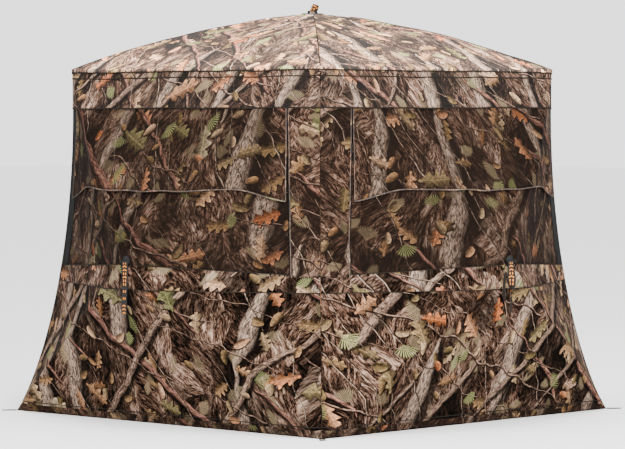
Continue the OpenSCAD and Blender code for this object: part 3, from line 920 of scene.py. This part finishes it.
def hub_cover(side, low_shift, mid_shift):
    """The printed cover over a hub's cap, open in the middle for the strap's bar. It is in two halves,
    cut where the wall's belt ends, so that each carries its wall's print on."""
    name = SIDES[side]
    split = HUB_Z - (BELT_Z + BELT_H + BELT_RISE)
    for half, shift, look, slot in (("upper", mid_shift, SCREEN, "screen_mesh"),
                                    ("lower", low_shift, WALL, "wall_camo")):
        radii = np.concatenate([np.linspace(COVER_HOLE, 0.049, 5), np.linspace(0.053, COVER_RIM, 4)])
        rise = np.concatenate([np.full(5, 0.0072), [0.0058, 0.0036, 0.0016, 0.0004]])
        start = np.arcsin(np.minimum(split / radii, 1))
        lo, hi = (-start, math.pi + start) if half == "upper" else (math.pi + start, 2 * math.pi - start)
        t = np.linspace(0, 1, 40)
        angle = lo[:, None] + (hi - lo)[:, None] * t
        u, z = radii[:, None] * np.cos(angle), HUB_Z + radii[:, None] * np.sin(angle)
        pucker = 0.0008 * np.sin(16 * angle) * smooth(radii, 0.046, 0.056)[:, None]
        x = HUB_REACH + rise[:, None] + 0.0016 + pucker
        points = wall_points(x, u, z, side)[:, ::-1]
        uvs = print_uvs(u, z, shift)[:, ::-1]
        piece = grid_object(f"{name}_hub_cover_{half}", points, uvs, [look, LINING])
        thicken(piece, 0.0008)
        fit(piece, name + "_hub_body")
        declare_cloth(points, [name + "_hub_cap"])


def wall_pieces(side):
    """All the cloth of one wall around its hub, with its trims."""
    name = SIDES[side]
    rng = np.random.default_rng(40 + side)
    low_shift, mid_shift, cover_shift, panel_shift = rng.uniform(0, 9, (4, 2))
    lo_edge, hi_edge = wall_edge(-1, 0.0), wall_edge(1, 0.0)
    lo_in, hi_in = wall_edge(-1, panel_lo(side)), wall_edge(1, panel_hi(side))
    for facet in LOW_FACETS:
        cloth(f"{name}_lower_wall_{facet}", side, facet, level(HEM_H - TUCK), belt_top(facet), lo_edge,
              hi_edge, 0.0, low_shift, [WALL, LINING], ["ground_hem_" + name],
              name + "_lower_wall")
    for facet in LOW_FACETS:
        cloth(f"{name}_belt_{facet}", side, facet, level(BELT_Z), belt_top(facet), lo_edge, hi_edge, 0.0024,
              low_shift + 1.7, [BELT, LINING], [f"{name}_lower_wall_{facet}"],
              extra=lambda u, z, k: 0.0008 * ripple(u + side, z, 0.05, 6))
    for facet in HIGH_FACETS:
        foot = belt_top("low" if facet == "high" else facet)
        cloth(f"{name}_window_screen_{facet}", side, facet, lambda s, foot=foot: foot(s) - 0.004,
              level(VALANCE_Z + TUCK), lo_in, hi_in, -0.0022, mid_shift, [SCREEN, LINING],
              ["valance_" + name], name + "_window_screen")
    cut = wall_edge(-1, panel_lo(side) + 0.008), wall_edge(1, panel_hi(side) + 0.008)
    if side == 1:
        cut = cut[0], lambda z: door_inner(z) - 0.03
    for facet in HIGH_FACETS:
        if side == 1 and facet == "hi":
            continue
        curtain_cloth(side, facet, cut[0], cut[1], cover_shift)
    corner_strip(side, "hi", panel_shift)
    corner_strip(side, "lo", panel_shift)
    hub_cover(side, low_shift, mid_shift)
    for facet in LOW_FACETS:
        lines = [across(facet, level(BELT_Z), lo_edge, hi_edge, 0.0018),
                 across(facet, belt_top(facet), lo_edge, hi_edge, 0.0018)]
        if side == 1 and facet == "hi":
            lines = [[p for p in line if p[0] < float(door_inner(p[1]))] for line in lines]
        trim(f"{name}_belt_seams_{facet}", side, lines, 0.0020, BLACK_TAPE)


def skirt(side):
    """The valance, the hem on the ground and the corner seam: none of these follow a hub."""
    name = SIDES[side]
    rng = np.random.default_rng(70 + side)
    shift, hem_shift = rng.uniform(0, 9, (2, 2))
    s, k = np.meshgrid(np.linspace(-1, 1, 120), np.linspace(0, 1, 13))
    z = VALANCE_Z - 0.003 * ripple(s + side, s * 0, 0.2) + (EAVE_Z - 0.002 - VALANCE_Z) * k
    u = s * half_at(z)
    loose = 0.005 + 0.005 * (1 - k) * (1 - np.abs(s) ** 6)
    loose = loose + 0.0022 * ripple(s * 0.8 + side, z, 0.12, 5) * (1 - s ** 8)
    x = wall_x(u, z) + loose * np.minimum(1, (1 - np.abs(s)) * 20 + 0.5)
    points = wall_points(x, u * (1 + 0.004 * (1 - k)), z, side)
    piece = thicken(grid_object("valance_" + name, points, print_uvs(u, z, shift), [VALANCE, LINING]))
    fit(piece, "root", "valance")
    declare_cloth(points, ["roof_" + name])
    edge = tube_object("valance_binding_" + name, [points[0]], 0.0028, BLACK_TAPE, flat=0.8)
    eave = tube_object("eave_piping_" + name, [points[-1], points[-3]], CORD, BLACK_TAPE)
    for part in (edge, eave):
        fit(part, "root")

    s, k = np.meshgrid(np.linspace(-1, 1, 120), np.linspace(0, 1, 6))
    z = HEM_H * k
    u = s * half_at(z)
    x = wall_x(u, z) - 0.0012 * (1 - s ** 12)
    x = x + 0.0015 * ripple(s + side, z, 0.06, 2) * (1 - k) * (1 - s ** 8)
    points = wall_points(x, u, z, side)
    piece = grid_object("ground_hem_" + name, points, print_uvs(u, z, hem_shift), [HEM, LINING])
    thicken(piece, 0.0022)
    fit(piece, "root", "ground_hem")
    declare_cloth(points, ["floor"])
    # The black cord along the top of the hem is its seam, made black to stand for the shadow line above the
    # hem: partly a real seam, partly painted shade.
    line = points[-1] + turned(np.array([0.0016, 0, 0]), side)
    fit(tube_object("hem_seam_and_painted_shade_" + name, [line], SEAM, BLACK_TAPE), "root")

    z = np.linspace(HEM_H, VALANCE_Z, 60)
    h = half_at(z)
    seam = wall_points(h + 0.0002, h + 0.0002, z, side)
    fit(tube_object("corner_seam_" + name, [seam], SEAM, HEM), "root")


def follow_roof_hub(piece, node=""):
    """Hides the CAD node a roof piece stands for, and bakes the piece's placement into its mesh."""
    if node:
        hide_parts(node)
    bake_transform(piece)


def roof_facet(side):
    """The roof's cloth over one wall, and its seam."""
    name = SIDES[side]
    rng = np.random.default_rng(90 + side)
    shift = rng.uniform(0, 9, 2)
    s, r = np.meshgrid(np.linspace(-1, 1, 90), np.linspace(1, 0.012, 56))
    a = r * ROOF_HALF
    z = roof_at(np.maximum(r, 0.07))
    rim = smooth(1 - r, 0.0, 0.06) * smooth(r, 0.09, 0.25)
    fold = 0.0030 * np.sin(9 * s + side) * np.exp(-((r - 0.22) / 0.12) ** 2)
    fine = 0.0045 * ripple(a + side, a * s, 0.22, 1) + 0.0015 * ripple(a, a * s + side, 0.07, 9)
    z = z + (fine + fold) * rim
    z = z - 0.010 * (1 - s * s) * rim * (1 - r)
    a = np.vstack([a[:1] + 0.0005, a[:1] + 0.0008, a])
    z = np.vstack([z[:1] - 0.020, z[:1] - 0.004, z])
    s, r = np.vstack([s[:2], s]), np.vstack([r[:2] + 0.025, r])
    points = wall_points(a, a * s, z, side)
    uvs = np.stack([a * s * 1.05 + shift[0], (1 - r) * ROOF_HALF * 1.12 + shift[1]], -1)
    piece = thicken(grid_object("roof_" + name, points, uvs, [ROOF_TOPLIT_PRINT, LINING]))
    follow_roof_hub(piece, "roof_canopy")
    declare_cloth(points, ["valance_" + name])
    ridge = points[:, -1][2:50] + np.array([0, 0, 0.0010])
    follow_roof_hub(tube_object("roof_seam_" + name, [ridge], 0.0020, HEM))


def tilted_box(middle, axes, sizes, verts, faces):
    """Adds a box with its own three axes to a mesh's lists."""
    first = len(verts)
    p, q, r = (axis * size / 2 for axis, size in zip(axes, sizes))
    verts += [middle + p * i + q * j + r * k for i in (-1, 1) for j in (-1, 1) for k in (-1, 1)]
    for face in ((0, 1, 3, 2), (4, 6, 7, 5), (0, 4, 5, 1), (2, 3, 7, 6), (0, 2, 6, 4), (1, 5, 7, 3)):
        faces.append(tuple(first + f for f in face))


def door():
    """The zipped door in the back wall: its panel, tape and teeth."""
    side = 1
    s, k = np.meshgrid(np.linspace(0, 1, 34), np.linspace(0, 1, 78))
    z = DOOR_LO + DOOR_GAP + (DOOR_HI - DOOR_LO - 2 * DOOR_GAP) * k
    a, b = door_inner(z) + DOOR_GAP, door_outer(z) - DOOR_GAP
    u = a + (b - a) * s
    points = on_cloth(u, z, side)
    piece = thicken(grid_object("door_panel_cloth", points, print_uvs(u, z, (4.4, 2.2)), [WALL, LINING]))
    fit(piece, "door_panel_body", "door_panel")
    declare_cloth(points, ["door_tape"])

    def side_line(edge, z0, z1):
        heights = np.linspace(z0, z1, int(abs(z1 - z0) / 0.006))
        return [(float(edge(h)), h) for h in heights]

    def end_line(start, end, z, count):
        return [(o, z) for o in np.linspace(float(start(z)), float(end(z)), count)[1:-1]]

    path = np.array(side_line(door_outer, DOOR_LO, DOOR_HI) + end_line(door_outer, door_inner, DOOR_HI, 14)
                    + side_line(door_inner, DOOR_HI, DOOR_LO) + end_line(door_inner, door_outer, DOOR_LO, 8))
    for _ in range(3):
        path = (np.roll(path, 1, 0) + path * 2 + np.roll(path, -1, 0)) / 4
    step = np.roll(path, -1, 0) - np.roll(path, 1, 0)
    step /= np.linalg.norm(step, axis=1, keepdims=True)
    sideways = np.stack([step[:, 1], -step[:, 0]], -1)

    def on_wall(flat, out):
        return on_cloth(flat[..., 0], flat[..., 1], side, out)

    at_hinge = (path[:, 0] < half_at(path[:, 1]) / 2 + HINGE_ROOM) & (
        np.abs(path[:, 1] - (DOOR_IN_LO + DOOR_IN_HI) / 2) < (DOOR_IN_HI - DOOR_IN_LO) / 2 + HINGE_ROOM)
    first, count = np.flatnonzero(at_hinge)[-1] + 1, np.sum(~at_hinge)
    path, sideways = (np.roll(v, -first, 0)[:count] for v in (path, sideways))
    for name, body, lo, hi, out in (("door_tape", "door_frame_body", ZIP_GAP, ZIP_TAPE, 0.0042),
                                    ("door_zip_half", "door_panel_body", -ZIP_TAPE, -ZIP_GAP, 0.0034)):
        rows = path[:, None] + sideways[:, None] * np.linspace(lo, hi, 4)[:, None]
        tape = grid_object(name, on_wall(rows, out), rows.copy(), [BLACK_TAPE, BLACK_TAPE])
        fit(thicken(tape, ZIP_THICK), body, "door_zip_tape" if name == "door_tape" else "")

    far = np.concatenate([[0], np.cumsum(np.linalg.norm(np.diff(path, axis=0), axis=1))])
    stops = np.arange(0, far[-1] - 0.004, TOOTH_PITCH)
    at, then = (on_wall(np.stack([np.interp(stops + on, far, path[:, c]) for c in (0, 1)], -1), TEETH_OUT)
                for on in (0, 0.002))
    verts, faces = [], []
    for n, (p, q) in enumerate(zip(at, then)):
        d = (q - p) / (np.linalg.norm(q - p) + 1e-12)
        w = np.cross(np.array([0.0, 1.0, 0.0]), d)
        w /= np.linalg.norm(w) + 1e-12
        place = p + w * (TOOTH_SHIFT if n % 2 else -TOOTH_SHIFT)
        tilted_box(place, (d, w, np.cross(d, w)), TOOTH, verts, faces)
    teeth = new_object("door_zip_teeth", verts, faces, None, [ZIP_METAL])
    teeth.data.shade_flat()
    fit(teeth, "door_frame_body")


def strap(side, twist):
    """A wall's pull strap: looped over the hub's bar and hanging down its wall."""
    name = SIDES[side]
    t = np.linspace(0, 1, 60)
    z = HUB_Z + 0.004 - STRAP_LENGTH * t
    x = BAR_X + 0.0008 + 0.003 * np.sin(5 * t + side) * t
    turn = twist * smooth(t, 0.1, 0.75)
    middle = np.stack([x, 0.004 * np.sin(3.1 * t + side) * t, z], -1)
    sideways = np.stack([np.sin(turn), np.cos(turn), 0 * t], -1)
    points = turned(strip_points(middle, sideways, STRAP_W, 7), side)
    wide = np.linspace(-STRAP_W / 2, STRAP_W / 2, 7)
    uvs = np.stack([np.tile(wide, (60, 1)), np.tile((t * STRAP_LENGTH)[:, None], 7)], -1)
    piece = grid_object(f"{name}_strap_tape", points[::-1], uvs[::-1], [STRAP, BLACK_TAPE])
    thicken(piece, TAPE_THICK)
    fit(piece, name + "_pull_strap_body", name + "_pull_strap")
    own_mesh(piece)
    if side:
        return
    t = np.linspace(0, 1, 30)
    middle = [BAR_X - 0.004 - 0.006 * t, -0.030 - 0.008 * np.sin(3 * t), HUB_Z - 0.045 - 0.125 * t]
    sideways = np.stack([0.75 + 0 * t, 0.66 + 0 * t, 0 * t], -1)
    points = strip_points(np.stack(middle, -1), sideways, 0.012, 3)
    uvs = np.stack([np.full((30, 3), 0.03), np.tile((t * 0.1)[:, None], 3)], -1)
    tail = grid_object("right_strap_tail", points[::-1], uvs[::-1], [BLACK_TAPE, BLACK_TAPE])
    thicken(tail, TAPE_THICK)
    fit(tail, "right_pull_strap_body")
    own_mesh(tail)


def roof_loop():
    """The roof's strap: a loop of the same marked tape round the bar of the roof's cap."""
    reach = 0.045
    t = np.linspace(0, 2 * math.pi, 61)
    up, aside = np.array([0, 0.616, 0.788]), np.array([0, 0.788, -0.616])
    root = np.array([0, 0, ROOF_BAR_Z])
    far = reach / 2 * (1 - np.cos(t)) - 0.004
    fat = 0.0085 * np.sin(t) * (1 + 0.35 * np.cos(t / 2))
    middle = root + far[:, None] * up + fat[:, None] * aside
    twist = 0.5 * np.sin(t / 2)
    sideways = np.stack([np.cos(twist), np.sin(twist) * aside[1], np.sin(twist) * aside[2]], -1)
    points = strip_points(middle, sideways, STRAP_W * 0.62, 7)
    run = np.concatenate([[0], np.cumsum(np.linalg.norm(np.diff(middle, axis=0), axis=1))])
    wide = np.linspace(-STRAP_W / 2, STRAP_W / 2, 7) * 0.62
    uvs = np.stack([np.tile(wide, (61, 1)), np.tile(run[:, None], 7)], -1)
    piece = thicken(grid_object("roof_strap_loop", points, uvs, [STRAP, STRAP]), 0.0014, 0.0)
    fit(piece, "roof_pull_strap_body", "roof_pull_strap")


for side in range(4):
    wall_pieces(side)
    skirt(side)
    roof_facet(side)
door()
roof_loop()
for side, twist in ((0, 2.6), (1, 0.3), (2, -0.4), (3, 0.15)):
    strap(side, twist)

# ---- The frame's own parts ----------------------------------------------------------------

for node_name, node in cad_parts.items():
    if "_pole_" in node_name:
        look = ROD
    elif node_name.endswith(("_hub", "_hub_cap")):
        look = HUB_PLASTIC
    elif node_name == "stake_grommets":
        look = GROMMET
    elif node_name == "door_zip_slider":
        look = ZIP_METAL
    else:
        look = BLACK_TAPE
    node.data.materials.clear()
    node.data.materials.append(look)

# ---- Stage --------------------------------------------------------------------------------

FLOOR, FLOOR_Z = 60, -0.001
floor_mesh = bpy.data.meshes.new("floor")
floor_corners = ((-FLOOR, -FLOOR), (FLOOR, -FLOOR), (FLOOR, FLOOR), (-FLOOR, FLOOR))
floor_mesh.from_pydata([(x, y, FLOOR_Z) for x, y in floor_corners], [], [(0, 1, 2, 3)])
floor = bpy.data.objects.new("floor", floor_mesh)
bpy.context.scene.collection.objects.link(floor)
pale, floor_shader = start_material("pale_floor", 0.9)
floor_shader.inputs["Base Color"].default_value = (0.90, 0.90, 0.90, 1)
floor_mesh.materials.append(pale)

world = bpy.data.worlds.new("studio")
bpy.context.scene.world = world
world.use_nodes = True
sky = world.node_tree.nodes["Background"]
sky.inputs["Color"].default_value = (1, 1, 1, 1)
sky.inputs["Strength"].default_value = 2.2


def area_light(name, place, aim, size, power):
    data = bpy.data.lights.new(name, "AREA")
    data.size = size
    data.energy = power
    lamp = bpy.data.objects.new(name, data)
    lamp.location = place
    lamp.rotation_mode = "QUATERNION"
    lamp.rotation_quaternion = (Vector(aim) - Vector(place)).to_track_quat("-Z", "Y")
    bpy.context.scene.collection.objects.link(lamp)


area_light("key", (6.6, -4.6, 3.4), (0.6, -0.4, 0.5), 2.4, 1250)
area_light("top", (0.5, -0.5, 7.0), (0, 0, 1.0), 4.0, 420)
